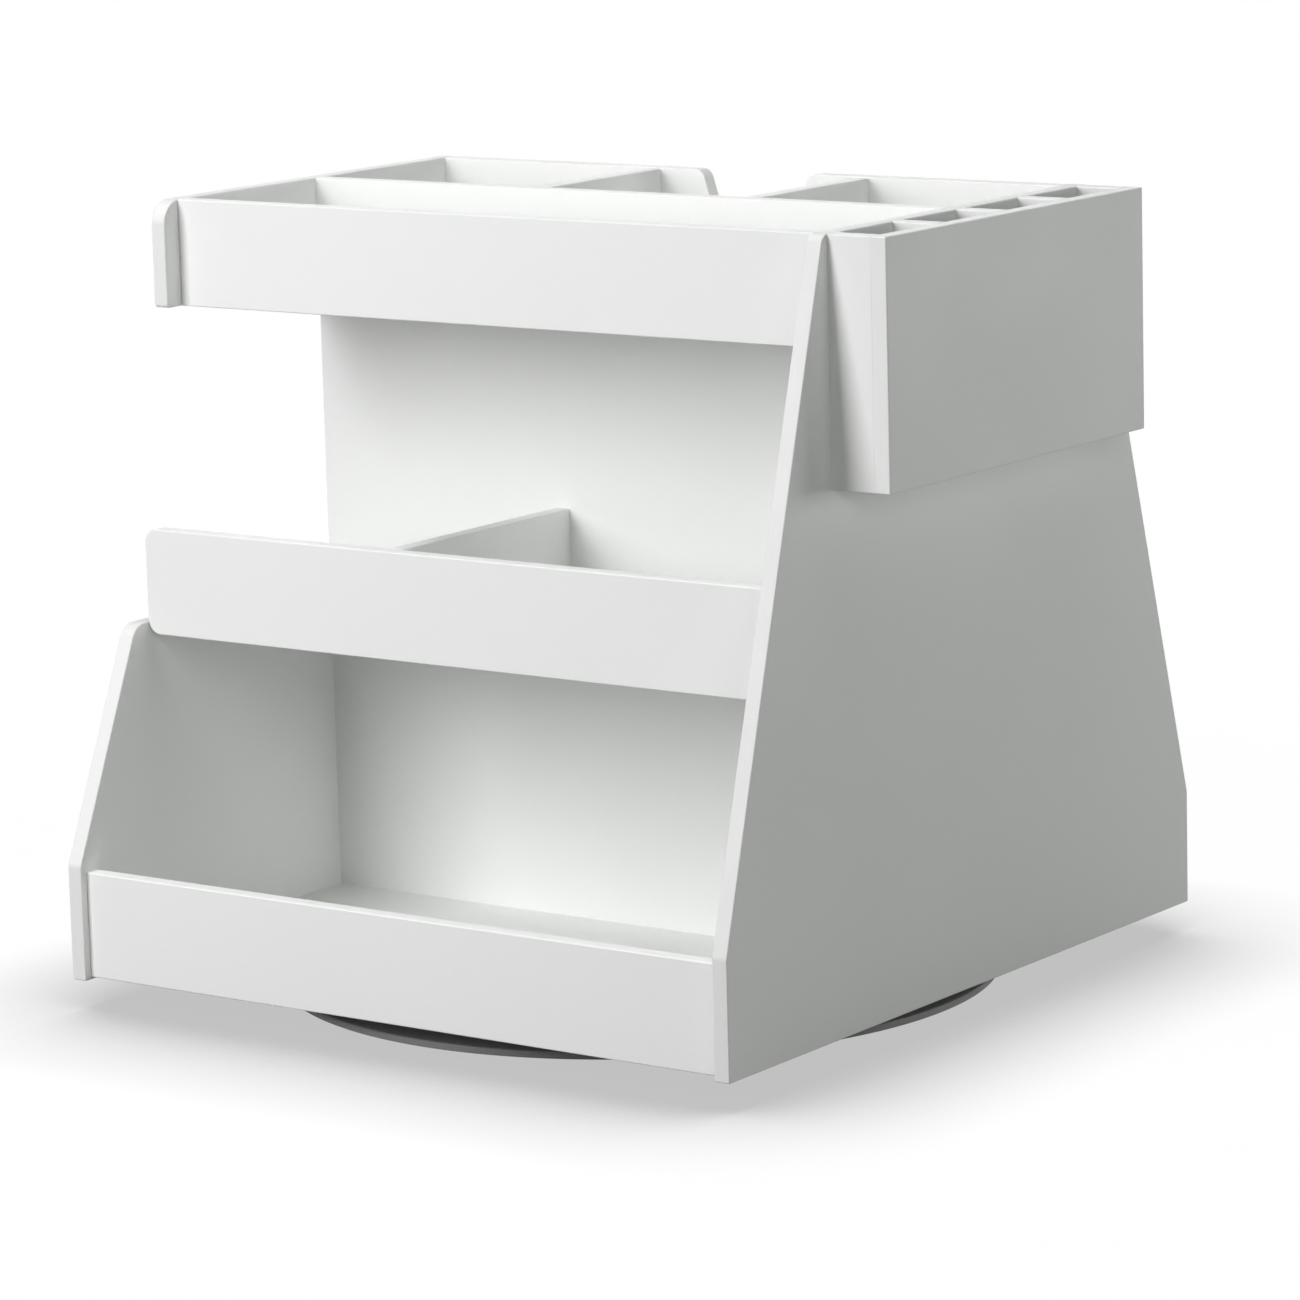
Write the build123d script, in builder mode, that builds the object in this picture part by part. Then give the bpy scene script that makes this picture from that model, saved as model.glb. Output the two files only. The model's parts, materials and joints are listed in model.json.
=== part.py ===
from build123d import *
import os
from math import atan2, cos, degrees, radians, sin

# Rotating desk organizer: a two-sided rack of sheet boards that turns on a ball bearing.
# Millimetres. The origin is on the spin axis at the surface that the base stands on.
# +X points to the side that carries the pen box, -Y to the front and +Z up.

# Overall sizes of the rack
body_width = 328.0  # outside of the left boards to outside of the right panel
body_depth = 343.0  # front to back along the foot of the side panels
body_height = 313.5  # underside of the side panels to the top of the tray
board = 7.0  # thickness of every sheet board
edge_ease = 0.5  # small chamfer on edges that a hand meets

# Base and bearing, from the table up
ring_proud = 1.0  # how far the anti-slip ring stands below the disc
ring_recess = 0.6  # how deep it sits in the disc
ring_width = 16.0
ring_edge = 9.0  # edge of the disc to the outside of the ring
ring_fit = 0.1
disc_diameter = 300.0
disc_thickness = 3.0
bearing_height = 9.0  # lower plate underside to upper plate top
plate_side = 150.0
plate_thickness = 2.5
plate_corner_radius = 12.0
plate_screw_inset = 10.0  # plate edge to screw centre
access_hole_diameter = 14.0
ball_diameter = 6.4
ball_clearance = 0.1  # ball to groove
ball_count = 16
track_radius = 50.0
cage_thickness = 1.4
cage_margin = 7.0  # cage beyond the ball centres
pocket_clearance = 0.3
pivot_diameter = 12.0
pivot_flange_diameter = 20.0
pivot_flange_height = 1.5
pivot_running_fit = 0.06  # radial, pivot to upper plate and cage
pivot_end_gap = 0.3  # pivot flange to upper plate
pivot_pocket_clearance = 1.0
screw_diameter = 4.0
screw_head_diameter = 7.6
screw_head_height = 1.9
screw_bite = 5.0  # screw length inside the bottom board
screw_fit = 0.1

# Side panels
panel_foot_height = 48.0  # the straight part above the underside
panel_foot_radius = 6.0
right_top_overhang = 3.5  # beyond the tray's lips, front and back
right_top_radius = 4.0
left_top_height = 142.0
left_top_overhang = 8.0  # beyond the middle lips, front and back
left_top_radius = 8.0
tray_side_overhang = 9.0  # beyond the tray's lips, front and back
tray_side_top_radius = 10.0
tray_side_bottom_radius = 1.5

# Shelves and lips, heights above the underside of the side panels
lip_height = 44.0
bottom_lip_rise = 1.1
bottom_lip_setback = 3.5  # front of the side panel to the face of the lip
middle_shelf_height = 137.0
middle_lip_setback = 48.5
middle_lip_corner_radius = 6.0  # at the open end
tray_lip_setback = 78.0

# Dividers, measured from the middle of the body to the middle of the board
middle_divider_offset = -31.5
tray_divider_offsets = {"left": -45.0, "right": 60.5}
tray_divider_drop = 0.5  # below the rim of the tray

# Notch in the back of the tray, narrower at its floor
notch_offset = 7.0  # from the middle of the body to the middle of the notch
notch_top_width = 54.0
notch_floor_width = 37.4
notch_depth = 26.0
notch_top_radius = 5.0
notch_bottom_radius = 8.0

# Pen box on the outside of the right panel
pen_box_inset = 2.75  # from the corners of the right panel's top
pen_box_depth = 26.5
pen_box_height = 98.0
pen_cell_count = 4

# Worked out from the above
ring_outer = disc_diameter / 2 - ring_edge
ring_inner = ring_outer - ring_width
body_base = ring_proud + disc_thickness + bearing_height
body_top = body_base + body_height
inner_left = -body_width / 2 + board
inner_right = body_width / 2 - board
disc_base = ring_proud
lower_plate_base = disc_base + disc_thickness
upper_plate_base = body_base - plate_thickness
ball_height = (lower_plate_base + body_base) / 2
groove_radius = ball_diameter / 2 + ball_clearance
screw_offset = plate_side / 2 - plate_screw_inset
screw_circle_radius = screw_offset * 2**0.5
screw_head_step = (screw_head_diameter - screw_diameter) / 2
screw_head_taper = degrees(atan2(screw_head_step, screw_head_height))
tray_base = body_top - lip_height
middle_base = body_base + middle_shelf_height
bottom_lip_base = body_base + bottom_lip_rise
wall_face = board / 2  # front and back faces of the centre wall
tray_depth = body_depth - 2 * tray_lip_setback
middle_depth = body_depth - 2 * middle_lip_setback
right_top_depth = tray_depth + 2 * right_top_overhang
left_top_depth = middle_depth + 2 * left_top_overhang
tray_side_depth = tray_depth + 2 * tray_side_overhang
pen_box_length = right_top_depth - 2 * pen_box_inset
sides = {"front": -1, "back": 1}

os.makedirs("parts", exist_ok=True)


def save(piece, label):
    piece.part.label = label
    export_step(piece.part, f"parts/{label}.step")


def lip_face(side, setback):
    # y of the outer face of a lip, and of its inner face
    outer = side * (body_depth / 2 - setback)
    return outer, outer - side * board


def sheet(label, x_span, y_span, z_span, eased_top=False):
    # A plain rectangular board between two corners
    with BuildPart() as piece:
        with BuildSketch(Plane.XY.offset(min(z_span))):
            with Locations((sum(x_span) / 2, sum(y_span) / 2)):
                Rectangle(abs(x_span[1] - x_span[0]), abs(y_span[1] - y_span[0]))
        extrude(amount=abs(z_span[1] - z_span[0]))
        if eased_top:
            along = Axis.X if abs(x_span[1] - x_span[0]) > abs(y_span[1] - y_span[0]) else Axis.Y
            chamfer(piece.edges().group_by(Axis.Z)[-1].filter_by(along), edge_ease)
    save(piece, label)


def open_ended_lip(label, y_high):
    # A middle lip: its right end meets the side panel and its left end is free and rounded
    lip_top = middle_base + lip_height
    with BuildPart() as piece:
        with BuildSketch(Plane.XZ.offset(-y_high)) as profile:
            with BuildLine():
                Polyline(
                    (inner_left, middle_base),
                    (inner_right, middle_base),
                    (inner_right, lip_top),
                    (inner_left, lip_top),
                    close=True,
                )
            make_face()
            free_corners = profile.vertices().group_by(Axis.X)[0]
            fillet(free_corners, middle_lip_corner_radius)
        extrude(amount=board)
        along_top = piece.edges().filter_by(Axis.X).group_by(Axis.Z)[-1]
        chamfer(along_top, edge_ease)
    save(piece, label)


def side_board(label, x_low, outline, radii):
    # A board that stands in a Y-Z plane, cut to an outline with rounded corners.
    # radii gives the corner radius of each outline point
    with BuildPart() as piece:
        with BuildSketch(Plane.YZ.offset(x_low)) as profile:
            with BuildLine():
                Polyline(*outline, close=True)
            make_face()
            for (y, z), radius in zip(outline, radii):
                if radius > 0:
                    corner = profile.vertices().sort_by_distance((y, z, 0))[0]
                    fillet(corner, radius)
        extrude(amount=board)
        rims = piece.faces().filter_by(Axis.X).edges()
        chamfer(rims, edge_ease)
    save(piece, label)


# Anti-slip ring that the whole rack stands on
with BuildPart() as anti_slip_ring:
    with BuildSketch(Plane.XY):
        Circle(ring_outer)
        Circle(ring_inner, mode=Mode.SUBTRACT)
    extrude(amount=ring_proud + ring_recess)
    sole = anti_slip_ring.faces().group_by(Axis.Z)[0]
    chamfer(sole.edges(), ring_proud / 3)
save(anti_slip_ring, "anti_slip_ring")

# Base disc
with BuildPart() as base_disc:
    with BuildSketch(Plane.XY.offset(disc_base)):
        Circle(disc_diameter / 2)
    extrude(amount=disc_thickness)
    chamfer(base_disc.edges(), edge_ease)
    with BuildSketch(Plane.XY.offset(disc_base)):
        Circle(ring_outer + ring_fit)
        Circle(ring_inner - ring_fit, mode=Mode.SUBTRACT)
    extrude(amount=ring_recess, mode=Mode.SUBTRACT)
    with BuildSketch(Plane.XY.offset(disc_base)):
        Circle(pivot_flange_diameter / 2 + pivot_pocket_clearance)
        with Locations((screw_circle_radius, 0)):
            Circle(access_hole_diameter / 2)
    extrude(amount=disc_thickness, mode=Mode.SUBTRACT)
    with Locations(Plane.XY.offset(disc_base).rotated((180, 0, 0))):
        with GridLocations(2 * screw_offset, 2 * screw_offset, 2, 2):
            CounterSinkHole(
                screw_diameter / 2 + screw_fit,
                screw_head_diameter / 2 + screw_fit,
                disc_thickness,
            )
save(base_disc, "base_disc")


# Lower bearing plate, screwed to the disc
with BuildPart() as bearing_lower_plate:
    with BuildSketch(Plane.XY.offset(lower_plate_base)):
        RectangleRounded(plate_side, plate_side, plate_corner_radius)
        Circle(pivot_diameter / 2, mode=Mode.SUBTRACT)
        with GridLocations(2 * screw_offset, 2 * screw_offset, 2, 2):
            Circle(screw_diameter / 2 + screw_fit, mode=Mode.SUBTRACT)
    extrude(amount=plate_thickness)
    with BuildSketch(Plane.XZ):
        with Locations((track_radius, ball_height)):
            Circle(groove_radius)
    revolve(axis=Axis.Z, mode=Mode.SUBTRACT)
save(bearing_lower_plate, "bearing_lower_plate")

# Upper bearing plate, screwed to the bottom board
with BuildPart() as bearing_upper_plate:
    with BuildSketch(Plane.XY.offset(upper_plate_base)):
        RectangleRounded(plate_side, plate_side, plate_corner_radius)
        Circle(pivot_diameter / 2 + pivot_running_fit, mode=Mode.SUBTRACT)
    extrude(amount=plate_thickness)
    with BuildSketch(Plane.XZ):
        with Locations((track_radius, ball_height)):
            Circle(groove_radius)
    revolve(axis=Axis.Z, mode=Mode.SUBTRACT)
    with Locations(Plane.XY.offset(upper_plate_base).rotated((180, 0, 0))):
        with GridLocations(2 * screw_offset, 2 * screw_offset, 2, 2):
            CounterSinkHole(
                screw_diameter / 2 + screw_fit,
                screw_head_diameter / 2 + screw_fit,
                plate_thickness,
            )
save(bearing_upper_plate, "bearing_upper_plate")

# Pivot: a flanged rivet closed on the lower plate, round which the upper plate turns
pivot_head_base = body_base + pivot_end_gap
with BuildPart() as pivot_rivet:
    with BuildSketch(Plane.XY.offset(lower_plate_base - pivot_flange_height)):
        Circle(pivot_flange_diameter / 2)
    extrude(amount=pivot_flange_height)
    with BuildSketch(Plane.XY.offset(lower_plate_base)):
        Circle(pivot_diameter / 2)
    extrude(amount=pivot_head_base - lower_plate_base)
    with BuildSketch(Plane.XY.offset(pivot_head_base)):
        Circle(pivot_flange_diameter / 2)
    extrude(amount=pivot_flange_height)
    chamfer(pivot_rivet.edges().group_by(Axis.Z)[-1], edge_ease)
save(pivot_rivet, "pivot_rivet")

# Cage that spaces the balls and runs round the pivot
with BuildPart() as ball_cage:
    with BuildSketch(Plane.XY.offset(ball_height - cage_thickness / 2)):
        Circle(track_radius + cage_margin)
        Circle(pivot_diameter / 2 + pivot_running_fit, mode=Mode.SUBTRACT)
        with PolarLocations(track_radius, ball_count):
            Circle(ball_diameter / 2 + pocket_clearance, mode=Mode.SUBTRACT)
    extrude(amount=cage_thickness)
save(ball_cage, "ball_cage")

# Balls
with BuildPart() as bearing_balls:
    for step in range(ball_count):
        turn = radians(360 / ball_count * step)
        with Locations((track_radius * cos(turn), track_radius * sin(turn), ball_height)):
            Sphere(ball_diameter / 2)
save(bearing_balls, "bearing_balls")


def countersunk_screws(label, head_base, tip_height):
    # Four screws whose heads lie flush with head_base and whose tips end at tip_height
    with BuildPart() as screws:
        with BuildSketch(Plane.XY.offset(head_base)):
            with GridLocations(2 * screw_offset, 2 * screw_offset, 2, 2):
                Circle(screw_head_diameter / 2)
        extrude(amount=screw_head_height, taper=screw_head_taper)
        with BuildSketch(Plane.XY.offset(head_base)):
            with GridLocations(2 * screw_offset, 2 * screw_offset, 2, 2):
                Circle(screw_diameter / 2)
        extrude(amount=tip_height - head_base)
    save(screws, label)


countersunk_screws("lower_plate_screws", disc_base, lower_plate_base + plate_thickness)
countersunk_screws("upper_plate_screws", upper_plate_base, body_base + screw_bite)

# Bottom board, with pilot holes for the screws and a pocket for the pivot's head
floor_reach = body_depth / 2 - bottom_lip_setback - board
with BuildPart() as bottom_board:
    with BuildSketch(Plane.XY.offset(body_base)):
        Rectangle(inner_right - inner_left, 2 * floor_reach)
    extrude(amount=board)
    with BuildSketch(Plane.XY.offset(body_base)):
        Circle(pivot_flange_diameter / 2 + pivot_pocket_clearance)
    extrude(amount=pivot_end_gap + pivot_flange_height + pivot_pocket_clearance, mode=Mode.SUBTRACT)
    with BuildSketch(Plane.XY.offset(body_base)):
        with GridLocations(2 * screw_offset, 2 * screw_offset, 2, 2):
            Circle(screw_diameter / 2 + screw_fit)
    extrude(amount=screw_bite + screw_fit, mode=Mode.SUBTRACT)
save(bottom_board, "bottom_board")


def trapezoid(top_depth, top_height, top_radius):
    # Outline of a side panel and the radius of each of its corners
    half = body_depth / 2
    kink = body_base + panel_foot_height
    top = body_base + top_height
    outline = [
        (-half, body_base),
        (half, body_base),
        (half, kink),
        (top_depth / 2, top),
        (-top_depth / 2, top),
        (-half, kink),
    ]
    radii = [0, 0, panel_foot_radius, top_radius, top_radius, panel_foot_radius]
    return outline, radii


# Side panels
side_board(
    "right_side_panel",
    inner_right,
    *trapezoid(right_top_depth, body_height, right_top_radius),
)
side_board(
    "left_lower_panel",
    -body_width / 2,
    *trapezoid(left_top_depth, left_top_height, left_top_radius),
)
tray_side_outline = [
    (-tray_side_depth / 2, tray_base),
    (tray_side_depth / 2, tray_base),
    (tray_side_depth / 2, body_top),
    (-tray_side_depth / 2, body_top),
]
tray_side_radii = [
    tray_side_bottom_radius,
    tray_side_bottom_radius,
    tray_side_top_radius,
    tray_side_top_radius,
]
side_board("tray_left_panel", -body_width / 2, tray_side_outline, tray_side_radii)

# Centre wall, from the bottom board to the rim of the tray
sheet(
    "centre_wall",
    (inner_left, inner_right),
    (-wall_face, wall_face),
    (body_base + board, body_top),
    eased_top=True,
)

# Shelves, lips and dividers of both sides
for name, side in sides.items():
    inside = (inner_left, inner_right)
    outer, inner = lip_face(side, bottom_lip_setback)
    lip_span = (bottom_lip_base, bottom_lip_base + lip_height)
    sheet(f"bottom_lip_{name}", inside, (outer, inner), lip_span, eased_top=True)

    outer, inner = lip_face(side, middle_lip_setback)
    shelf_span = (middle_base, middle_base + board)
    sheet(f"middle_shelf_{name}", inside, (side * wall_face, inner), shelf_span)
    open_ended_lip(f"middle_lip_{name}", max(outer, inner))
    divider_span = (middle_divider_offset - board / 2, middle_divider_offset + board / 2)
    above_shelf = (middle_base + board, middle_base + lip_height)
    sheet(
        f"middle_divider_{name}",
        divider_span,
        (side * wall_face, inner),
        above_shelf,
        eased_top=True,
    )

    outer, inner = lip_face(side, tray_lip_setback)
    floor_span = (tray_base, tray_base + board)
    sheet(f"tray_floor_{name}", inside, (side * wall_face, inner), floor_span)

# Front of the tray
tray_front_outer, tray_front_inner = lip_face(-1, tray_lip_setback)
sheet(
    "tray_lip_front",
    (inner_left, inner_right),
    (tray_front_outer, tray_front_inner),
    (tray_base, body_top),
    eased_top=True,
)

# Back of the tray, with a rounded notch in its top edge behind the middle cell
tray_back_outer, tray_back_inner = lip_face(1, tray_lip_setback)
notch_floor = body_top - notch_depth
notch_tops = [notch_offset + turn * notch_top_width / 2 for turn in (-1, 1)]
notch_feet = [notch_offset + turn * notch_floor_width / 2 for turn in (-1, 1)]
with BuildPart() as tray_back_panel:
    with BuildSketch(Plane.XZ.offset(-tray_back_outer)) as profile:
        with BuildLine():
            Polyline(
                (inner_left, tray_base),
                (inner_right, tray_base),
                (inner_right, body_top),
                (notch_tops[1], body_top),
                (notch_feet[1], notch_floor),
                (notch_feet[0], notch_floor),
                (notch_tops[0], body_top),
                (inner_left, body_top),
                close=True,
            )
        make_face()
        for x in notch_tops:
            fillet(profile.vertices().sort_by_distance((x, body_top, 0))[0], notch_top_radius)
        for x in notch_feet:
            fillet(profile.vertices().sort_by_distance((x, notch_floor, 0))[0], notch_bottom_radius)
    extrude(amount=board)
    rim_faces = tray_back_panel.faces().filter_by(Axis.Y)
    rim_edges = rim_faces.edges().filter_by_position(Axis.Z, notch_floor - board, body_top)
    chamfer(rim_edges.filter_by(lambda edge: edge.center().Z > notch_floor - edge_ease), edge_ease)
save(tray_back_panel, "tray_back_panel")

# Dividers in the back of the tray
for name, offset_x in tray_divider_offsets.items():
    sheet(
        f"tray_divider_{name}",
        (offset_x - board / 2, offset_x + board / 2),
        (wall_face, tray_back_inner),
        (tray_base + board, body_top - tray_divider_drop),
        eased_top=True,
    )

# Pen box: the right panel is its back, and boards make the rest
pen_base = body_top - pen_box_height
pen_inner_x = body_width / 2
pen_outer_x = pen_inner_x + pen_box_depth
pen_wall_x = pen_outer_x - board
half_pen = pen_box_length / 2
sheet(
    "pen_box_outer_wall",
    (pen_wall_x, pen_outer_x),
    (-half_pen, half_pen),
    (pen_base, body_top),
    eased_top=True,
)
for name, side in sides.items():
    sheet(
        f"pen_box_{name}_wall",
        (pen_inner_x, pen_wall_x),
        (side * half_pen, side * (half_pen - board)),
        (pen_base, body_top),
        eased_top=True,
    )
sheet(
    "pen_box_floor",
    (pen_inner_x, pen_wall_x),
    (-half_pen + board, half_pen - board),
    (pen_base, pen_base + board),
)
pen_divider_count = pen_cell_count - 1
pen_cell_length = (pen_box_length - 2 * board - pen_divider_count * board) / pen_cell_count
for step in range(pen_divider_count):
    low = -half_pen + board + pen_cell_length + step * (pen_cell_length + board)
    sheet(
        f"pen_box_divider_{step + 1}",
        (pen_inner_x, pen_wall_x),
        (low, low + board),
        (pen_base + board, body_top),
        eased_top=True,
    )
print("screw circle radius", round(screw_circle_radius, 2))
print("pen cell length", round(pen_cell_length, 2))
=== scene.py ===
import json
import math

import bmesh
import bpy
from mathutils import Matrix, Vector


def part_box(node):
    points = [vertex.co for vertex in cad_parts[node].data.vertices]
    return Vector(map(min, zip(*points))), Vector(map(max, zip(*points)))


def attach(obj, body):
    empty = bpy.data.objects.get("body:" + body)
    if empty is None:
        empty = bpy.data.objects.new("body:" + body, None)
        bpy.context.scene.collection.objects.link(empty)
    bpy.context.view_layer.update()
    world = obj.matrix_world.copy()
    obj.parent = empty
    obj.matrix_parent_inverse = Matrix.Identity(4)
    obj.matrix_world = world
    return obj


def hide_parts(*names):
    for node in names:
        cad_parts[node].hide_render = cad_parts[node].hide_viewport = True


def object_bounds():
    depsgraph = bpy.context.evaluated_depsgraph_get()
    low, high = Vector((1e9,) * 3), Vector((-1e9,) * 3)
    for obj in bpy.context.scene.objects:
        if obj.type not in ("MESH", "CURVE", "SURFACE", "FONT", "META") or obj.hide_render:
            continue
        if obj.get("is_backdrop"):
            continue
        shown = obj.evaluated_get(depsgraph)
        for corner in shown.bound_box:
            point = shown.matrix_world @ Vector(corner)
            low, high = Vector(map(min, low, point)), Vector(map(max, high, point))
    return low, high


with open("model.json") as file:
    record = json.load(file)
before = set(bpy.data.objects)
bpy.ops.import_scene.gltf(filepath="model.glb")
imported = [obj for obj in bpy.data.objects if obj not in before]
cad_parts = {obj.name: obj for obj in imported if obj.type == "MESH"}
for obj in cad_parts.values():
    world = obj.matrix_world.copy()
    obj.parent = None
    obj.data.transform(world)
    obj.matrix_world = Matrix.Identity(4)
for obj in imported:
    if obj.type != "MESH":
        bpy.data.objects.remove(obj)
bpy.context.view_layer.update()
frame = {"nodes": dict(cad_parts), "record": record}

mm = 0.001
print("frame loaded,", len(frame["nodes"]), "nodes")

# Scene settings
scene = bpy.context.scene
scene.view_settings.view_transform = "Standard"

# Camera, fitted to the edges of the rack in the photo
cameraView = {
    "place": (1.33170, -1.83438, 0.56315),
    "turn": 35.80,  # degrees to the left of straight ahead
    "dip": 10.67,  # degrees below the horizon
    "roll": -1.51,
    "lens": 154.26,
    "sensor": 36.0,
    "nearest": 0.05,
    "farthest": 60.0,
}


def makeCamera(view):
    data = bpy.data.cameras.new("camera")
    data.lens = view["lens"]
    data.sensor_width = view["sensor"]
    data.clip_start = view["nearest"]
    data.clip_end = view["farthest"]
    camera = bpy.data.objects.new("camera", data)
    scene.collection.objects.link(camera)
    turn = Matrix.Rotation(math.radians(view["turn"]), 4, "Z")
    dip = Matrix.Rotation(math.radians(90 - view["dip"]), 4, "X")
    roll = Matrix.Rotation(math.radians(view["roll"]), 4, "Z")
    camera.matrix_world = Matrix.Translation(view["place"]) @ turn @ dip @ roll
    scene.camera = camera


makeCamera(cameraView)
print("camera ready")

# Studio light: a soft box close by on the front left, one overhead, weak ones on the right and behind
softBoxes = {
    "keyBox": {
        "place": (-0.52, -1.38, 0.82),
        "aim": (0.0, 0.0, 0.16),
        "width": 0.70,
        "height": 0.98,
        "strength": 19.8,
        "colour": (0.99, 0.985, 1.0),
    },
    "rightBox": {
        "place": (2.0, -1.5, 1.0),
        "aim": (0.0, 0.0, 0.16),
        "width": 0.8,
        "height": 0.8,
        "strength": 8.8,
        "colour": (0.975, 1.0, 0.975),
    },
    "backBox": {
        "place": (1.25, 0.95, 0.32),
        "aim": (0.0, 0.0, 0.16),
        "width": 0.8,
        "height": 0.4,
        "strength": 4.8,
        "colour": (0.975, 1.0, 0.975),
    },
    "topBox": {
        "place": (0.05, 0.05, 2.2),
        "aim": (0.05, 0.051, 0.16),
        "width": 0.7,
        "height": 0.7,
        "strength": 19.5,
        "colour": (0.99, 0.985, 1.0),
    },
    "farBox": {
        "place": (-1.1, 1.5, 0.7),
        "aim": (0.0, 0.0, 0.16),
        "width": 0.9,
        "height": 0.6,
        "strength": 5.5,
        "colour": (1.0, 0.99, 1.0),
    },
}
roomLight = {
    "horizon": 0.01,
    "overhead": 0.04,  # added straight above
    "falloff": 2.0,
}


def makeSoftBox(name, setup):
    data = bpy.data.lights.new(name, "AREA")
    data.shape = "RECTANGLE"
    data.size = setup["width"]
    data.size_y = setup["height"]
    data.energy = setup["strength"]
    data.color = setup["colour"]
    lamp = bpy.data.objects.new(name, data)
    scene.collection.objects.link(lamp)
    back = Vector(setup["place"]) - Vector(setup["aim"])
    turned = back.to_track_quat("Z", "Y").to_matrix().to_4x4()
    lamp.matrix_world = Matrix.Translation(setup["place"]) @ turned


def makeRoom(room):
    world = bpy.data.worlds.new("room")
    scene.world = world
    world.use_nodes = True
    nodes = world.node_tree.nodes
    links = world.node_tree.links
    direction = nodes.new("ShaderNodeTexCoord")
    split = nodes.new("ShaderNodeSeparateXYZ")
    above = nodes.new("ShaderNodeMath")
    above.operation = "MAXIMUM"
    above.inputs[1].default_value = 0.0
    curve = nodes.new("ShaderNodeMath")
    curve.operation = "POWER"
    curve.inputs[1].default_value = room["falloff"]
    level = nodes.new("ShaderNodeMath")
    level.operation = "MULTIPLY_ADD"
    level.inputs[1].default_value = room["overhead"]
    level.inputs[2].default_value = room["horizon"]
    background = nodes["Background"]
    background.inputs["Color"].default_value = (1.0, 1.0, 1.0, 1.0)
    links.new(direction.outputs["Generated"], split.inputs[0])
    links.new(split.outputs["Z"], above.inputs[0])
    links.new(above.outputs[0], curve.inputs[0])
    links.new(curve.outputs[0], level.inputs[0])
    links.new(level.outputs[0], background.inputs["Strength"])


for name, setup in softBoxes.items():
    makeSoftBox(name, setup)
makeRoom(roomLight)
print("light ready,", len(softBoxes), "soft boxes")

# Floor: plain and pale. To the camera it is near white, with a painted shadow round the rack and a
# trace of real shadow
floorLook = {
    "size": 60.0,
    "bounce": 0.20,  # how much of the light goes back up to the rack
    "seen": 0.02,  # share of the real light in what the camera sees
    "glow": 0.98,  # added white, where nothing is near
    "glowInPaintedShadow": 0.53,  # and right beside the rack, in the painted shadow
    "paintedShadowReach": 0.095,  # metres over which the painted contact shadow fades
    "openNear": 0.54,  # how open the sky is beside the rack and where the shadow ends
    "openFar": 1.0,
    "farFrom": 0.45,  # metres from the axis where the floor starts to go plain white
    "farTo": 1.0,
    "skyRays": 16,
}


def addSpan(nodes, links, source, fromLow, fromHigh, toLow, toHigh):
    span = nodes.new("ShaderNodeMapRange")
    span.inputs["From Min"].default_value = fromLow
    span.inputs["From Max"].default_value = fromHigh
    span.inputs["To Min"].default_value = toLow
    span.inputs["To Max"].default_value = toHigh
    links.new(source, span.inputs["Value"])
    return span.outputs["Result"]


def addMath(nodes, links, operation, first, second):
    step = nodes.new("ShaderNodeMath")
    step.operation = operation
    links.new(first, step.inputs[0])
    links.new(second, step.inputs[1])
    return step.outputs[0]


def makeFloor(look):
    bm = bmesh.new()
    bmesh.ops.create_grid(bm, x_segments=1, y_segments=1, size=look["size"] / 2)
    mesh = bpy.data.meshes.new("floor")
    bm.to_mesh(mesh)
    bm.free()
    floor = bpy.data.objects.new("floor", mesh)
    scene.collection.objects.link(floor)
    material = bpy.data.materials.new("paleFloor")
    material.use_nodes = True
    nodes = material.node_tree.nodes
    links = material.node_tree.links
    nodes.remove(nodes["Principled BSDF"])
    bounced = nodes.new("ShaderNodeBsdfDiffuse")
    bounced.inputs["Color"].default_value = (look["bounce"], look["bounce"], look["bounce"], 1.0)
    lit = nodes.new("ShaderNodeBsdfDiffuse")
    lit.inputs["Color"].default_value = (look["seen"], look["seen"], look["seen"], 1.0)
    # added white: less where the rack closes off the sky, which paints the rack's contact shadow;
    # full far away
    sky = nodes.new("ShaderNodeAmbientOcclusion")
    sky.samples = look["skyRays"]
    sky.inputs["Distance"].default_value = look["paintedShadowReach"]
    glowWithPaintedShadow = addSpan(
        nodes, links, sky.outputs["AO"],
        look["openNear"], look["openFar"], look["glowInPaintedShadow"], look["glow"],
    )
    place = nodes.new("ShaderNodeTexCoord")
    reach = nodes.new("ShaderNodeVectorMath")
    reach.operation = "LENGTH"
    links.new(place.outputs["Object"], reach.inputs[0])
    away = addSpan(
        nodes, links, reach.outputs["Value"], look["farFrom"], look["farTo"], 0.0, 1.0 - look["glow"],
    )
    glow = nodes.new("ShaderNodeEmission")
    links.new(addMath(nodes, links, "ADD", glowWithPaintedShadow, away), glow.inputs["Strength"])
    both = nodes.new("ShaderNodeAddShader")
    links.new(lit.outputs[0], both.inputs[0])
    links.new(glow.outputs[0], both.inputs[1])
    # that white is for the camera, and for reflections and glass
    path = nodes.new("ShaderNodeLightPath")
    seen = addMath(
        nodes, links, "MAXIMUM", path.outputs["Is Camera Ray"], path.outputs["Is Glossy Ray"],
    )
    seen = addMath(nodes, links, "MAXIMUM", seen, path.outputs["Is Transmission Ray"])
    choice = nodes.new("ShaderNodeMixShader")
    links.new(seen, choice.inputs["Fac"])
    links.new(bounced.outputs[0], choice.inputs[1])
    links.new(both.outputs[0], choice.inputs[2])
    links.new(choice.outputs[0], nodes["Material Output"].inputs["Surface"])
    mesh.materials.append(material)
    floor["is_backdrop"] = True


makeFloor(floorLook)
print("floor ready")

# Finishes. Each takes its pattern from Object coordinates, in metres
evenly = (1.0, 1.0, 1.0)
pattern = {
    "cloudDetail": 3.0,
    "grainDetail": 2.0,
    "markDetail": 4.0,
    "darkAt": 0.35,  # the noise values that give the dark and the light tone
    "lightAt": 0.65,
    "smoothAt": 0.3,  # and the lowest and the highest roughness
    "roughAt": 0.7,
}


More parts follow.
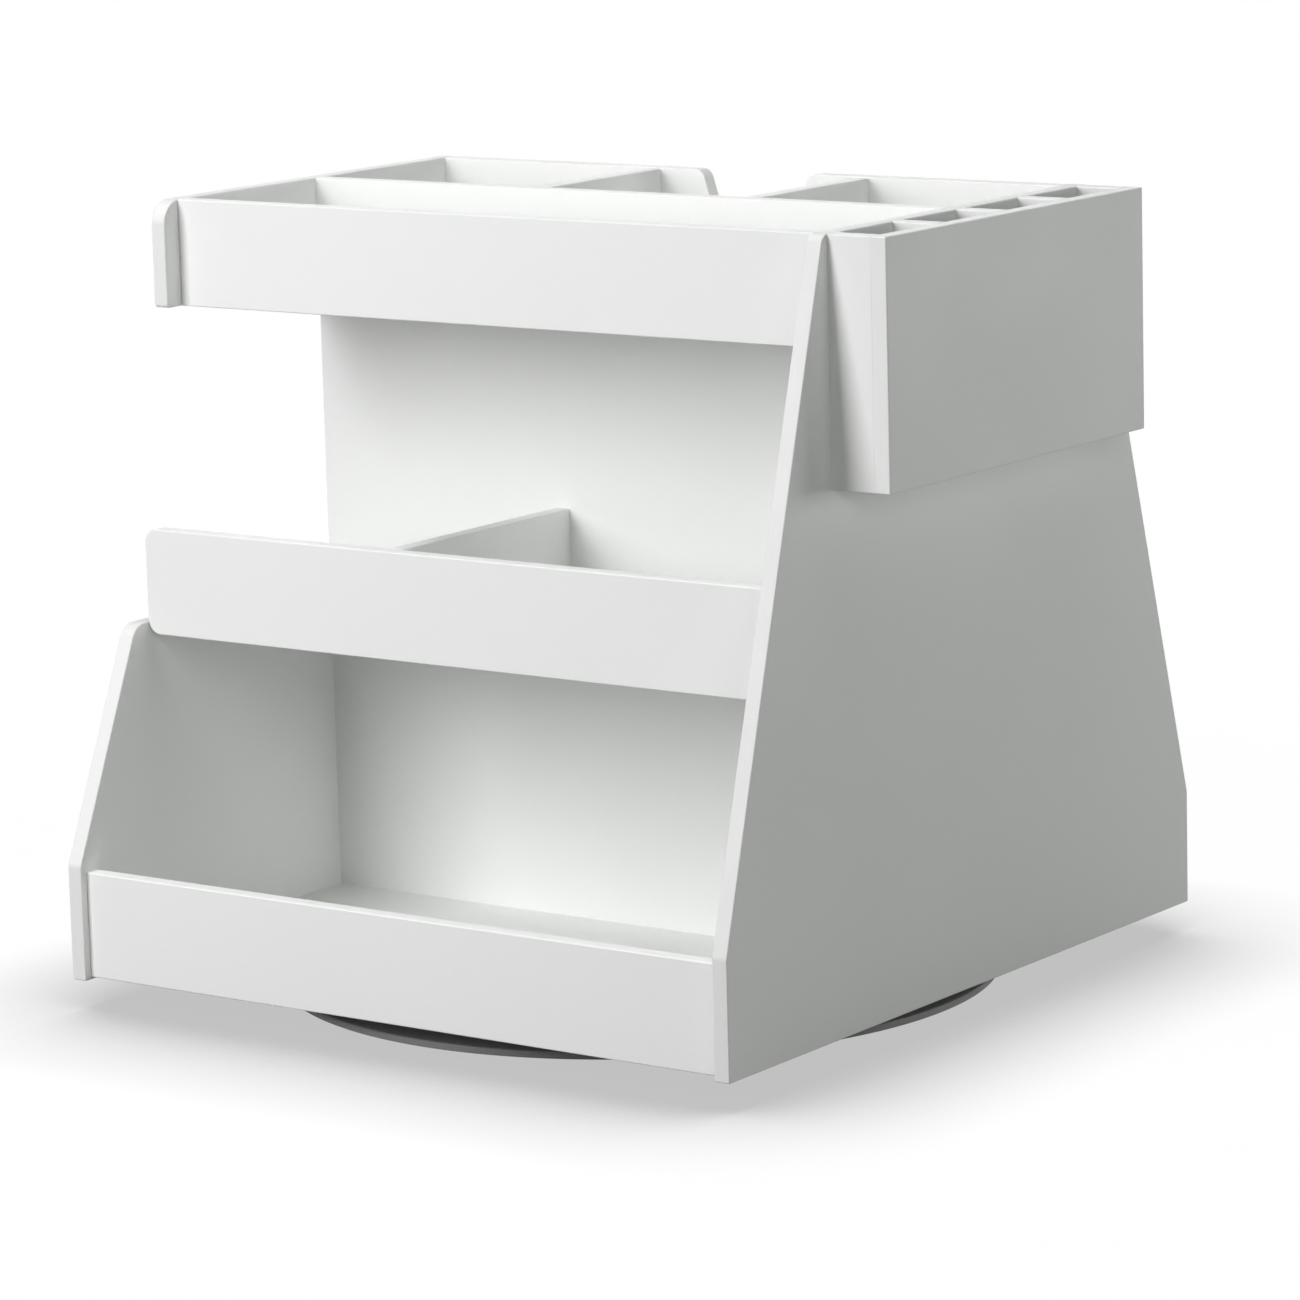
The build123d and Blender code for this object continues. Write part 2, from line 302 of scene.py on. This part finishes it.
def addNoise(nodes, links, scale, detail, stretch=evenly):
    place = nodes.new("ShaderNodeTexCoord")
    mapping = nodes.new("ShaderNodeMapping")
    mapping.inputs["Scale"].default_value = stretch
    noise = nodes.new("ShaderNodeTexNoise")
    noise.inputs["Scale"].default_value = scale
    noise.inputs["Detail"].default_value = detail
    links.new(place.outputs["Object"], mapping.inputs["Vector"])
    links.new(mapping.outputs["Vector"], noise.inputs["Vector"])
    return noise.outputs["Fac"]


def makeFinish(name, look):
    material = bpy.data.materials.new(name)
    material.use_nodes = True
    nodes = material.node_tree.nodes
    links = material.node_tree.links
    shader = nodes["Principled BSDF"]
    shader.inputs["Metallic"].default_value = look.get("metallic", 0.0)
    # slow change of tone over the piece, with a fine grain on top
    cloud = addNoise(nodes, links, look["cloudScale"], pattern["cloudDetail"])
    grain = addNoise(
        nodes, links, look["grainScale"], pattern["grainDetail"], look.get("grainStretch", evenly),
    )
    blend = nodes.new("ShaderNodeMix")
    blend.data_type = "FLOAT"
    blend.inputs[0].default_value = look["grainShare"]
    links.new(cloud, blend.inputs[2])
    links.new(grain, blend.inputs[3])
    tone = nodes.new("ShaderNodeValToRGB")
    tone.color_ramp.elements[0].position = pattern["darkAt"]
    tone.color_ramp.elements[0].color = (*look["darkTone"], 1.0)
    tone.color_ramp.elements[1].position = pattern["lightAt"]
    tone.color_ramp.elements[1].color = (*look["lightTone"], 1.0)
    links.new(blend.outputs[0], tone.inputs["Fac"])
    links.new(tone.outputs["Color"], shader.inputs["Base Color"])
    # handling marks change only the gloss
    marks = addNoise(nodes, links, look["markScale"], pattern["markDetail"])
    smoothest, roughest = look["roughness"]
    gloss = addSpan(
        nodes, links, marks, pattern["smoothAt"], pattern["roughAt"], smoothest, roughest,
    )
    links.new(gloss, shader.inputs["Roughness"])
    # surface relief
    bump = nodes.new("ShaderNodeBump")
    bump.inputs["Strength"].default_value = look["reliefStrength"]
    bump.inputs["Distance"].default_value = look["reliefDepth"]
    links.new(grain, bump.inputs["Height"])
    links.new(bump.outputs["Normal"], shader.inputs["Normal"])
    return material


boardLook = {
    "darkTone": (0.885, 0.896, 0.877),
    "lightTone": (0.905, 0.916, 0.897),
    "cloudScale": 7.0,
    "grainScale": 650.0,
    "grainShare": 0.35,
    "markScale": 22.0,
    "roughness": (0.42, 0.50),
    "reliefStrength": 0.10,
    "reliefDepth": 0.0002,
}
edgeLook = {
    "darkTone": (0.856, 0.866, 0.848),
    "lightTone": (0.880, 0.890, 0.872),
    "cloudScale": 12.0,
    "grainScale": 60.0,
    "grainShare": 0.6,
    "markScale": 60.0,
    "roughness": (0.50, 0.60),
    "reliefStrength": 0.25,
    "reliefDepth": 0.0002,
}
sideEdgePaintedShadeTones = {  # painted shade: a little greyer, darkening the slanted edges of the side panels where key and top light fall
    "darkTone": (0.809, 0.818, 0.801),
    "lightTone": (0.832, 0.841, 0.824),
}
sawLines = 28.0  # fine lines on a cut face, this many times closer across the board than along it

boardSkin = makeFinish("boardSkin", boardLook)
boardEdges = {}
for axis in range(3):
    stretch = list(evenly)
    stretch[axis] = sawLines
    boardEdges[axis] = makeFinish(f"boardEdge{'XYZ'[axis]}", {**edgeLook, "grainStretch": stretch})
# cut edges of the side panels and the tray's end board, darkened as painted shade
sideEdge = makeFinish("sideEdge", {**edgeLook, **sideEdgePaintedShadeTones, "grainStretch": (sawLines, 1.0, 1.0)})

basePlastic = makeFinish("basePlastic", {
    "darkTone": (0.300, 0.305, 0.300),
    "lightTone": (0.335, 0.340, 0.335),
    "cloudScale": 9.0,
    "grainScale": 900.0,
    "grainShare": 0.4,
    "markScale": 30.0,
    "roughness": (0.46, 0.58),
    "reliefStrength": 0.3,
    "reliefDepth": 0.0002,
})
ringRubber = makeFinish("ringRubber", {
    "darkTone": (0.030, 0.030, 0.031),
    "lightTone": (0.052, 0.052, 0.053),
    "cloudScale": 14.0,
    "grainScale": 1200.0,
    "grainShare": 0.5,
    "markScale": 45.0,
    "roughness": (0.62, 0.80),
    "reliefStrength": 0.5,
    "reliefDepth": 0.0002,
})
zincSteel = makeFinish("zincSteel", {
    "metallic": 1.0,
    "darkTone": (0.56, 0.57, 0.58),
    "lightTone": (0.70, 0.71, 0.72),
    "cloudScale": 30.0,
    "grainScale": 90.0,
    "grainStretch": (1.0, 14.0, 1.0),
    "grainShare": 0.5,
    "markScale": 80.0,
    "roughness": (0.26, 0.42),
    "reliefStrength": 0.15,
    "reliefDepth": 0.0001,
})
screwZinc = makeFinish("screwZinc", {
    "metallic": 1.0,
    "darkTone": (0.60, 0.60, 0.60),
    "lightTone": (0.74, 0.74, 0.73),
    "cloudScale": 120.0,
    "grainScale": 700.0,
    "grainShare": 0.4,
    "markScale": 220.0,
    "roughness": (0.24, 0.38),
    "reliefStrength": 0.2,
    "reliefDepth": 0.0001,
})
polishedSteel = makeFinish("polishedSteel", {
    "metallic": 1.0,
    "darkTone": (0.74, 0.74, 0.75),
    "lightTone": (0.80, 0.80, 0.81),
    "cloudScale": 80.0,
    "grainScale": 600.0,
    "grainShare": 0.3,
    "markScale": 260.0,
    "roughness": (0.06, 0.14),
    "reliefStrength": 0.03,
    "reliefDepth": 0.0001,
})
cagePlastic = makeFinish("cagePlastic", {
    "darkTone": (0.10, 0.10, 0.11),
    "lightTone": (0.15, 0.15, 0.16),
    "cloudScale": 20.0,
    "grainScale": 800.0,
    "grainShare": 0.4,
    "markScale": 60.0,
    "roughness": (0.40, 0.54),
    "reliefStrength": 0.2,
    "reliefDepth": 0.0002,
})
print("finishes ready,", len(bpy.data.materials), "materials")


def pieceName(node):
    words = node.split("_")
    return words[0] + "".join(word.capitalize() for word in words[1:])


def bodyOf(node):
    for body, members in frame["record"]["behaviour"]["bodies"].items():
        if node in members:
            return body
    raise ValueError(node)


meshFinish = {
    "weld": 0.002 * mm,  # points nearer than this become one
    "sharpAngle": 50.0,  # degrees from which an edge stays sharp in the shading
}


def finishPiece(bm, node, materials):
    # A finished mesh becomes a piece that stands for its node and moves with the node's body
    bmesh.ops.remove_doubles(bm, verts=bm.verts, dist=meshFinish["weld"])
    bmesh.ops.recalc_face_normals(bm, faces=bm.faces)
    for face in bm.faces:
        face.smooth = True
    name = pieceName(node)
    mesh = bpy.data.meshes.new(name)
    bm.to_mesh(mesh)
    bm.free()
    for material in materials:
        mesh.materials.append(material)
    mesh.set_sharp_from_angle(angle=math.radians(meshFinish["sharpAngle"]))
    piece = bpy.data.objects.new(name, mesh)
    scene.collection.objects.link(piece)
    shading = piece.modifiers.new("evenShading", "WEIGHTED_NORMAL")
    shading.keep_sharp = True
    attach(piece, bodyOf(node))
    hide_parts(node)


# Boards. A free edge is eased round, an edge at a joint keeps only a hairline arris
boardEdge = {
    "easeRadius": 0.6 * mm,
    "easeSegments": 3,
    "arris": 0.06 * mm,
    "sharpAngle": 50.0,
}
straight = 0.999  # a face looks along a direction if its normal agrees this well
directions = {
    "left": Vector((-1, 0, 0)),
    "right": Vector((1, 0, 0)),
    "front": Vector((0, -1, 0)),
    "back": Vector((0, 1, 0)),
    "under": Vector((0, 0, -1)),
    "top": Vector((0, 0, 1)),
}


def sidesOf(edge):
    # Which way the two faces at an edge look, as far as they look straight
    names = set()
    for face in edge.link_faces:
        for name, direction in directions.items():
            if face.normal.dot(direction) > straight:
                names.add(name)
    return names


def bevelEdges(bm, edges, width, segments, clamped=True):
    bmesh.ops.bevel(
        bm,
        geom=edges,
        offset=width,
        offset_type="OFFSET",
        segments=segments,
        profile=0.5,
        affect="EDGES",
        clamp_overlap=clamped,
        material=-1,
    )


def easeEdges(bm, joints):
    # joints holds the names of the faces that meet a neighbour, or of the two faces of a flush edge
    bmesh.ops.recalc_face_normals(bm, faces=bm.faces)
    jointSets = [set(joint.split()) for joint in joints]
    sharp = math.radians(boardEdge["sharpAngle"])
    free = []
    for edge in bm.edges:
        if edge.calc_face_angle(0.0) < sharp:
            continue
        names = sidesOf(edge)
        if not any(joint <= names for joint in jointSets):
            free.append(edge)
    if free:
        bevelEdges(bm, free, boardEdge["easeRadius"], boardEdge["easeSegments"])
    rest = [edge for edge in bm.edges if edge.calc_face_angle(0.0) >= sharp]
    if rest:
        bevelEdges(bm, rest, boardEdge["arris"], 1)


def thinAxis(low, high):
    size = high - low
    return min(range(3), key=lambda axis: size[axis])


def paintCutEdges(bm, axis):
    # Faces that look along the thickness are the board's skin, all others were cut
    for face in bm.faces:
        face.material_index = 0 if abs(face.normal[axis]) > straight else 1


def makeBoard(node, joints):
    # A rectangular board between the corners of its node
    low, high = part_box(node)
    bm = bmesh.new()
    bmesh.ops.create_cube(bm, size=1.0)
    bmesh.ops.scale(bm, vec=high - low, verts=bm.verts)
    bmesh.ops.translate(bm, vec=(low + high) / 2, verts=bm.verts)
    axis = thinAxis(low, high)
    bm.normal_update()
    paintCutEdges(bm, axis)
    easeEdges(bm, joints)
    finishPiece(bm, node, (boardSkin, boardEdges[axis]))


def makeShapedBoard(node, corners, joints=()):
    # A board cut to an outline. A corner is its place across and up in the board's plane, and
    # where it is rounded, its radius and the number of flats in its rounding
    low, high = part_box(node)
    axis = thinAxis(low, high)
    across, up = [other for other in range(3) if other != axis]
    bm = bmesh.new()
    outline = []
    for sideways, upwards, *_ in corners:
        point = Vector()
        point[axis] = low[axis]
        point[across] = sideways
        point[up] = upwards
        outline.append(bm.verts.new(point))
    bm.faces.new(outline)
    places = [vert.co.copy() for vert in outline]
    count = len(corners)
    for step, (_, _, *rounding) in enumerate(corners):
        if not rounding:
            continue
        radius, flats = rounding
        before = places[step] - places[step - 1]
        after = places[(step + 1) % count] - places[step]
        reach = radius * math.tan(before.angle(after) / 2)
        bm.verts.ensure_lookup_table()
        vert = min(bm.verts, key=lambda other: (other.co - places[step]).length)
        bmesh.ops.bevel(
            bm,
            geom=[vert],
            offset=reach,
            offset_type="OFFSET",
            segments=flats,
            profile=0.5,
            affect="VERTICES",
            clamp_overlap=False,
            material=-1,
        )
    grown = bmesh.ops.extrude_face_region(bm, geom=bm.faces[:], use_keep_orig=True)
    raised = [item for item in grown["geom"] if isinstance(item, bmesh.types.BMVert)]
    offset = Vector()
    offset[axis] = high[axis] - low[axis]
    bmesh.ops.translate(bm, vec=offset, verts=raised)
    bmesh.ops.recalc_face_normals(bm, faces=bm.faces)
    paintCutEdges(bm, axis)
    easeEdges(bm, joints)
    # boards across x take the cut-edge finish that is darkened as painted shade
    cutFinish = sideEdge if axis == 0 else boardEdges[axis]
    finishPiece(bm, node, (boardSkin, cutFinish))


plainBoards = {
    "bottom_board": ("left", "right", "front", "back"),
    "bottom_lip_front": ("left", "right"),
    "bottom_lip_back": ("left", "right"),
    "centre_wall": ("left", "right", "under"),
    "middle_shelf_front": ("right", "front", "back", "left under"),
    "middle_shelf_back": ("right", "front", "back", "left under"),
    "middle_divider_front": ("front", "back", "under"),
    "middle_divider_back": ("front", "back", "under"),
    "tray_floor_front": ("left", "right", "front", "back"),
    "tray_floor_back": ("left", "right", "front", "back"),
    "tray_lip_front": ("left", "right", "under back"),
    "tray_divider_left": ("front", "back", "under"),
    "tray_divider_right": ("front", "back", "under"),
    "pen_box_outer_wall": ("left front", "left back", "left under"),
    "pen_box_front_wall": ("left", "right", "under back"),
    "pen_box_back_wall": ("left", "right", "under front"),
    "pen_box_floor": ("left", "right", "front", "back"),
    "pen_box_divider_1": ("left", "right", "under"),
    "pen_box_divider_2": ("left", "right", "under"),
    "pen_box_divider_3": ("left", "right", "under"),
}
for node, joints in plainBoards.items():
    makeBoard(node, joints)
print("plain boards ready,", len(plainBoards))

# Side panels: upright at the foot, then slanted to a narrower top
sidePanels = {
    "right_side_panel": {"topDepth": 194.0, "topRadius": 4.0},
    "left_lower_panel": {"topDepth": 262.0, "topRadius": 8.0},
}
panelOutline = {"kinkHeight": 61.0, "kinkRadius": 6.0, "kinkFlats": 4, "topFlats": 8}
for node, panel in sidePanels.items():
    low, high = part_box(node)
    kink = panelOutline["kinkHeight"] * mm
    halfTop = panel["topDepth"] / 2 * mm
    kinkRounding = (panelOutline["kinkRadius"] * mm, panelOutline["kinkFlats"])
    topRounding = (panel["topRadius"] * mm, panelOutline["topFlats"])
    makeShapedBoard(node, (
        (low.y, low.z),
        (high.y, low.z),
        (high.y, kink, *kinkRounding),
        (halfTop, high.z, *topRounding),
        (-halfTop, high.z, *topRounding),
        (low.y, kink, *kinkRounding),
    ))

# Short board at the open end of the tray
trayEnd = {"topRadius": 10.0, "bottomRadius": 1.5, "topFlats": 12, "bottomFlats": 4}
low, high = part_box("tray_left_panel")
endTop = (trayEnd["topRadius"] * mm, trayEnd["topFlats"])
endBottom = (trayEnd["bottomRadius"] * mm, trayEnd["bottomFlats"])
makeShapedBoard("tray_left_panel", (
    (low.y, low.z, *endBottom),
    (high.y, low.z, *endBottom),
    (high.y, high.z, *endTop),
    (low.y, high.z, *endTop),
))

# Middle lips: the free end is rounded
middleLip = {"radius": 6.0, "flats": 10}
for side, flush in (("front", "under back"), ("back", "under front")):
    node = f"middle_lip_{side}"
    low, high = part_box(node)
    freeEnd = (middleLip["radius"] * mm, middleLip["flats"])
    makeShapedBoard(node, (
        (low.x, low.z, *freeEnd),
        (high.x, low.z),
        (high.x, high.z),
        (low.x, high.z, *freeEnd),
    ), ("right", flush))

# Back of the tray, with a rounded notch behind the middle cell, narrower at its floor
trayNotch = {
    "middle": 7.0,
    "topWidth": 54.0,
    "floorWidth": 37.4,
    "depth": 26.0,
    "topRadius": 5.0,
    "bottomRadius": 8.0,
    "flats": 10,
}
low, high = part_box("tray_back_panel")
notchMiddle = trayNotch["middle"] * mm
halfMouth = trayNotch["topWidth"] / 2 * mm
halfFloor = trayNotch["floorWidth"] / 2 * mm
notchFloor = high.z - trayNotch["depth"] * mm
notchTop = (trayNotch["topRadius"] * mm, trayNotch["flats"])
notchBottom = (trayNotch["bottomRadius"] * mm, trayNotch["flats"])
makeShapedBoard("tray_back_panel", (
    (low.x, low.z),
    (high.x, low.z),
    (high.x, high.z),
    (notchMiddle + halfMouth, high.z, *notchTop),
    (notchMiddle + halfFloor, notchFloor, *notchBottom),
    (notchMiddle - halfFloor, notchFloor, *notchBottom),
    (notchMiddle - halfMouth, high.z, *notchTop),
    (low.x, high.z),
), ("left", "right", "under front"))
print("shaped boards ready")


def turnProfile(bm, points, steps, closed=True):
    # A full turn of a line of (radius, height) points about the upright axis
    verts = [bm.verts.new((radius, 0.0, height)) for radius, height in points]
    edges = [bm.edges.new(pair) for pair in zip(verts, verts[1:])]
    if closed:
        edges.append(bm.edges.new((verts[-1], verts[0])))
    bmesh.ops.spin(
        bm,
        geom=verts + edges,
        cent=(0.0, 0.0, 0.0),
        axis=(0.0, 0.0, 1.0),
        dvec=(0.0, 0.0, 0.0),
        angle=2 * math.pi,
        steps=steps,
        use_merge=True,
        use_duplicate=False,
    )


def arc(centre, radius, start, end, flats):
    # Points of an arc in the (radius, height) plane, in degrees
    points = []
    for step in range(flats + 1):
        angle = math.radians(start + (end - start) * step / flats)
        points.append((centre[0] + radius * math.cos(angle), centre[1] + radius * math.sin(angle)))
    return points


# Where the screws of both bearing plates stand
screwReach = 65.0 * mm
screwPlaces = [(x, y) for x in (-screwReach, screwReach) for y in (-screwReach, screwReach)]
turnSteps = 192

# Base disc: a moulded plate with a rounded rim, a seat for the anti-slip ring and its holes
baseDisc = {
    "rimRound": 0.8 * mm,
    "rimFlats": 5,
    "seatDepth": 0.6 * mm,
    "seatFit": 0.1 * mm,
    "ringWidth": 16.0 * mm,
    "pivotHole": 11.0 * mm,
    "pivotHoleSteps": 64,
    "driverHole": 7.0 * mm,
    "driverHoleSteps": 48,
    "driverHoleAt": (91.92 * mm, 0.0),
    "screwHole": 2.1 * mm,
    "screwHoleSteps": 32,
    "screwRoom": 3.0 * mm,  # edges nearer than this to a screw's middle are its hole's
    "countersink": 1.8 * mm,
    "holeEase": 0.25 * mm,
    "soleRoom": 0.1 * mm,  # and those nearer than this to the underside are countersunk
    "wallRoom": 1.0 * mm,  # an upright face this near the seat is the wall to leave open
}


def makeBaseDisc(spec):
    low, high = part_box("base_disc")
    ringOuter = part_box("anti_slip_ring")[1].x
    seatOuter = ringOuter + spec["seatFit"]
    seatInner = ringOuter - spec["ringWidth"] - spec["seatFit"]
    rim = spec["rimRound"]
    bm = bmesh.new()
    # the middle of the plate with its holes, filled flat and then given its thickness
    centre = (0.0, 0.0)
    circles = [
        (centre, seatInner, turnSteps),
        (centre, spec["pivotHole"], spec["pivotHoleSteps"]),
        (spec["driverHoleAt"], spec["driverHole"], spec["driverHoleSteps"]),
    ]
    circles += [(place, spec["screwHole"], spec["screwHoleSteps"]) for place in screwPlaces]
    for place, radius, steps in circles:
        moved = Matrix.Translation((place[0], place[1], low.z))
        bmesh.ops.create_circle(bm, cap_ends=False, segments=steps, radius=radius, matrix=moved)
    bmesh.ops.triangle_fill(bm, use_beauty=True, edges=bm.edges[:])
    grown = bmesh.ops.extrude_face_region(bm, geom=bm.faces[:], use_keep_orig=True)
    raised = [item for item in grown["geom"] if isinstance(item, bmesh.types.BMVert)]
    bmesh.ops.translate(bm, vec=(0.0, 0.0, high.z - low.z), verts=raised)
    # the wall where the seat begins is open, because the turned rim goes on from there
    bm.normal_update()
    outerWall = []
    for face in bm.faces:
        reach = face.calc_center_median().xy.length
        if abs(face.normal.z) < 0.5 and reach > seatInner - spec["wallRoom"]:
            outerWall.append(face)
    bmesh.ops.delete(bm, geom=outerWall, context="FACES_ONLY")
    bmesh.ops.recalc_face_normals(bm, faces=bm.faces)
    sharp = math.radians(meshFinish["sharpAngle"])
    countersunk = []
    eased = []
    for edge in bm.edges:
        middle = (edge.verts[0].co + edge.verts[1].co) / 2
        if len(edge.link_faces) != 2 or edge.calc_face_angle(0.0) < sharp:
            continue
        atScrew = any(
            (middle.xy - Vector(place)).length < spec["screwRoom"] for place in screwPlaces
        )
        if atScrew and middle.z < low.z + spec["soleRoom"]:
            countersunk.append(edge)
        else:
            eased.append(edge)
    bevelEdges(bm, countersunk, spec["countersink"], 1, clamped=False)
    bevelEdges(bm, [edge for edge in eased if edge.is_valid], spec["holeEase"], 2)
    # the rim, turned
    outer = high.x
    profile = [(seatInner, high.z)]
    profile += arc((outer - rim, high.z - rim), rim, 90, 0, spec["rimFlats"])
    profile += arc((outer - rim, low.z + rim), rim, 0, -90, spec["rimFlats"])
    profile += [
        (seatOuter, low.z),
        (seatOuter, low.z + spec["seatDepth"]),
        (seatInner, low.z + spec["seatDepth"]),
        (seatInner, low.z),
    ]
    turnProfile(bm, profile, turnSteps, closed=False)
    finishPiece(bm, "base_disc", (basePlastic,))


makeBaseDisc(baseDisc)

# Anti-slip ring: soft, with fine round grooves in its sole
antiSlipRing = {
    "width": 16.0 * mm,
    "chamfer": 0.3 * mm,
    "grooves": 5,
    "grooveDepth": 0.35 * mm,
    "grooveWidth": 1.2 * mm,
    "grooveTaper": 0.6,  # a groove's width at its bottom, as a share of its mouth
}


def makeAntiSlipRing(spec):
    low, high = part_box("anti_slip_ring")
    outer = high.x
    inner = outer - spec["width"]
    chamfer = spec["chamfer"]
    points = [
        (inner, high.z),
        (inner, low.z + chamfer),
        (inner + chamfer, low.z),
    ]
    pitch = (spec["width"] - 2 * chamfer) / (spec["grooves"] + 1)
    for step in range(spec["grooves"]):
        centre = inner + chamfer + pitch * (step + 1)
        half = spec["grooveWidth"] / 2
        halfBottom = half * spec["grooveTaper"]
        points += [
            (centre - half, low.z),
            (centre - halfBottom, low.z + spec["grooveDepth"]),
            (centre + halfBottom, low.z + spec["grooveDepth"]),
            (centre + half, low.z),
        ]
    points += [
        (outer - chamfer, low.z),
        (outer, low.z + chamfer),
        (outer, high.z),
    ]
    bm = bmesh.new()
    turnProfile(bm, points, turnSteps)
    finishPiece(bm, "anti_slip_ring", (ringRubber,))


makeAntiSlipRing(antiSlipRing)

# Pivot: a hollow rivet, rolled over at both ends
pivotRivet = {
    "shank": 6.0 * mm,
    "bore": 3.6 * mm,
    "flangeThickness": 1.5 * mm,
    "flangeRound": 0.7 * mm,
    "flangeFlats": 4,
    "mouthRound": 1.4 * mm,
    "mouthFlats": 5,
    "steps": 64,
}


def makePivotRivet(spec):
    low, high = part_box("pivot_rivet")
    flange = high.x
    thick = spec["flangeThickness"]
    edge = spec["flangeRound"]
    mouth = spec["mouthRound"]
    shank = spec["shank"]
    bore = spec["bore"]
    flats = spec["flangeFlats"]
    points = arc((flange - edge, low.z + edge), edge, -90, 0, flats)
    points += arc((flange - edge, low.z + thick - edge), edge, 0, 90, flats)
    points += [(shank, low.z + thick), (shank, high.z - thick)]
    points += arc((flange - edge, high.z - thick + edge), edge, -90, 0, flats)
    points += arc((flange - edge, high.z - edge), edge, 0, 90, flats)
    points += arc((bore + mouth, high.z - mouth), mouth, 90, 180, spec["mouthFlats"])
    points += arc((bore + mouth, low.z + mouth), mouth, 180, 270, spec["mouthFlats"])
    bm = bmesh.new()
    turnProfile(bm, points, spec["steps"])
    finishPiece(bm, "pivot_rivet", (screwZinc,))


makePivotRivet(pivotRivet)

# Countersunk screws with a cross recess and a turned thread
crossScrew = {
    "head": 3.8 * mm,
    "headHeight": 1.9 * mm,
    "shank": 2.0 * mm,
    "root": 1.5 * mm,
    "tip": 0.75 * mm,
    "pitch": 1.25 * mm,
    "arris": 0.15 * mm,
    "recessReach": 2.1 * mm,
    "recessArm": 0.55 * mm,
    "recessDepth": 1.3 * mm,
    "recessTaper": 0.45,
    "steps": 32,
}
screwTurns = {  # how far each screw was driven, in degrees
    "lower_plate_screws": (12.0, 71.0, 38.0, 55.0),
    "upper_plate_screws": (64.0, 27.0, 5.0, 49.0),
}


def makeCrossScrews(node, turns, spec):
    low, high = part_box(node)
    head = spec["head"]
    shank = spec["shank"]
    face = head - spec["arris"]
    bm = bmesh.new()
    # head and thread, turned
    points = [(face, low.z), (head, low.z + spec["arris"])]
    points.append((shank, low.z + spec["headHeight"]))
    height = low.z + spec["headHeight"] + spec["pitch"] / 2
    while height + spec["pitch"] < high.z:
        points.append((spec["root"], height))
        points.append((shank, height + spec["pitch"] / 2))
        height += spec["pitch"]
    points += [(spec["root"], height), (spec["tip"], high.z), (0.0, high.z)]
    turnProfile(bm, points, spec["steps"], closed=False)
    # face of the head round the cross, and the recess itself
    rounds = bmesh.ops.create_circle(
        bm, cap_ends=False, segments=spec["steps"], radius=face,
        matrix=Matrix.Translation((0.0, 0.0, low.z)),
    )
    rimEdges = list({edge for vert in rounds["verts"] for edge in vert.link_edges})
    reach = spec["recessReach"]
    arm = spec["recessArm"]
    crossVerts = []
    for quarter in range(4):
        spun = Matrix.Rotation(math.radians(90 * quarter), 3, "Z")
        for place in ((reach, -arm), (reach, arm), (arm, arm)):
            crossVerts.append(bm.verts.new(spun @ Vector((*place, low.z))))
    crossEdges = [
        bm.edges.new((crossVerts[step - 1], crossVerts[step])) for step in range(len(crossVerts))
    ]
    bmesh.ops.triangle_fill(bm, use_beauty=True, edges=rimEdges + crossEdges)
    sunk = bmesh.ops.extrude_edge_only(bm, edges=crossEdges)
    sunkVerts = [item for item in sunk["geom"] if isinstance(item, bmesh.types.BMVert)]
    sunkEdges = [item for item in sunk["geom"] if isinstance(item, bmesh.types.BMEdge)]
    bmesh.ops.translate(bm, vec=(0.0, 0.0, spec["recessDepth"]), verts=sunkVerts)
    narrower = Matrix.Diagonal((spec["recessTaper"], spec["recessTaper"], 1.0, 1.0))
    bmesh.ops.transform(bm, matrix=narrower, verts=sunkVerts)
    floorEdges = [edge for edge in sunkEdges if all(vert in sunkVerts for vert in edge.verts)]
    bmesh.ops.triangle_fill(bm, use_beauty=True, edges=floorEdges)
    bmesh.ops.remove_doubles(bm, verts=bm.verts, dist=meshFinish["weld"])
    # the same screw at all four places, each left at its own turn
    first = bm.verts[:] + bm.edges[:] + bm.faces[:]
    copies = [first]
    for _ in screwPlaces[1:]:
        copies.append(bmesh.ops.duplicate(bm, geom=first)["geom"])
    for geom, place, turn in zip(copies, screwPlaces, turns):
        verts = [item for item in geom if isinstance(item, bmesh.types.BMVert)]
        bmesh.ops.rotate(bm, verts=verts, matrix=Matrix.Rotation(math.radians(turn), 3, "Z"))
        bmesh.ops.translate(bm, verts=verts, vec=(place[0], place[1], 0.0))
    finishPiece(bm, node, (screwZinc,))


for node, turns in screwTurns.items():
    makeCrossScrews(node, turns, crossScrew)

# Balls of the bearing, evenly round their track
bearingBalls = {"count": 16, "segments": 32, "rings": 16}


def makeBearingBalls(spec):
    low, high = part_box("bearing_balls")
    radius = (high.z - low.z) / 2
    track = high.x - radius
    bm = bmesh.new()
    for step in range(spec["count"]):
        turn = 2 * math.pi * step / spec["count"]
        centre = (track * math.cos(turn), track * math.sin(turn), low.z + radius)
        bmesh.ops.create_uvsphere(
            bm, u_segments=spec["segments"], v_segments=spec["rings"], radius=radius,
            matrix=Matrix.Translation(centre),
        )
    finishPiece(bm, "bearing_balls", (polishedSteel,))


makeBearingBalls(bearingBalls)
print("base, ring, rivet, screws and balls ready")

# The bearing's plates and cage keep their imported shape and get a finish
bearingFinishes = {
    "bearing_lower_plate": zincSteel,
    "bearing_upper_plate": zincSteel,
    "ball_cage": cagePlastic,
}
for node, material in bearingFinishes.items():
    for place in frame["nodes"][node].material_slots:
        place.material = material
print("bearing finished")

low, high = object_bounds()
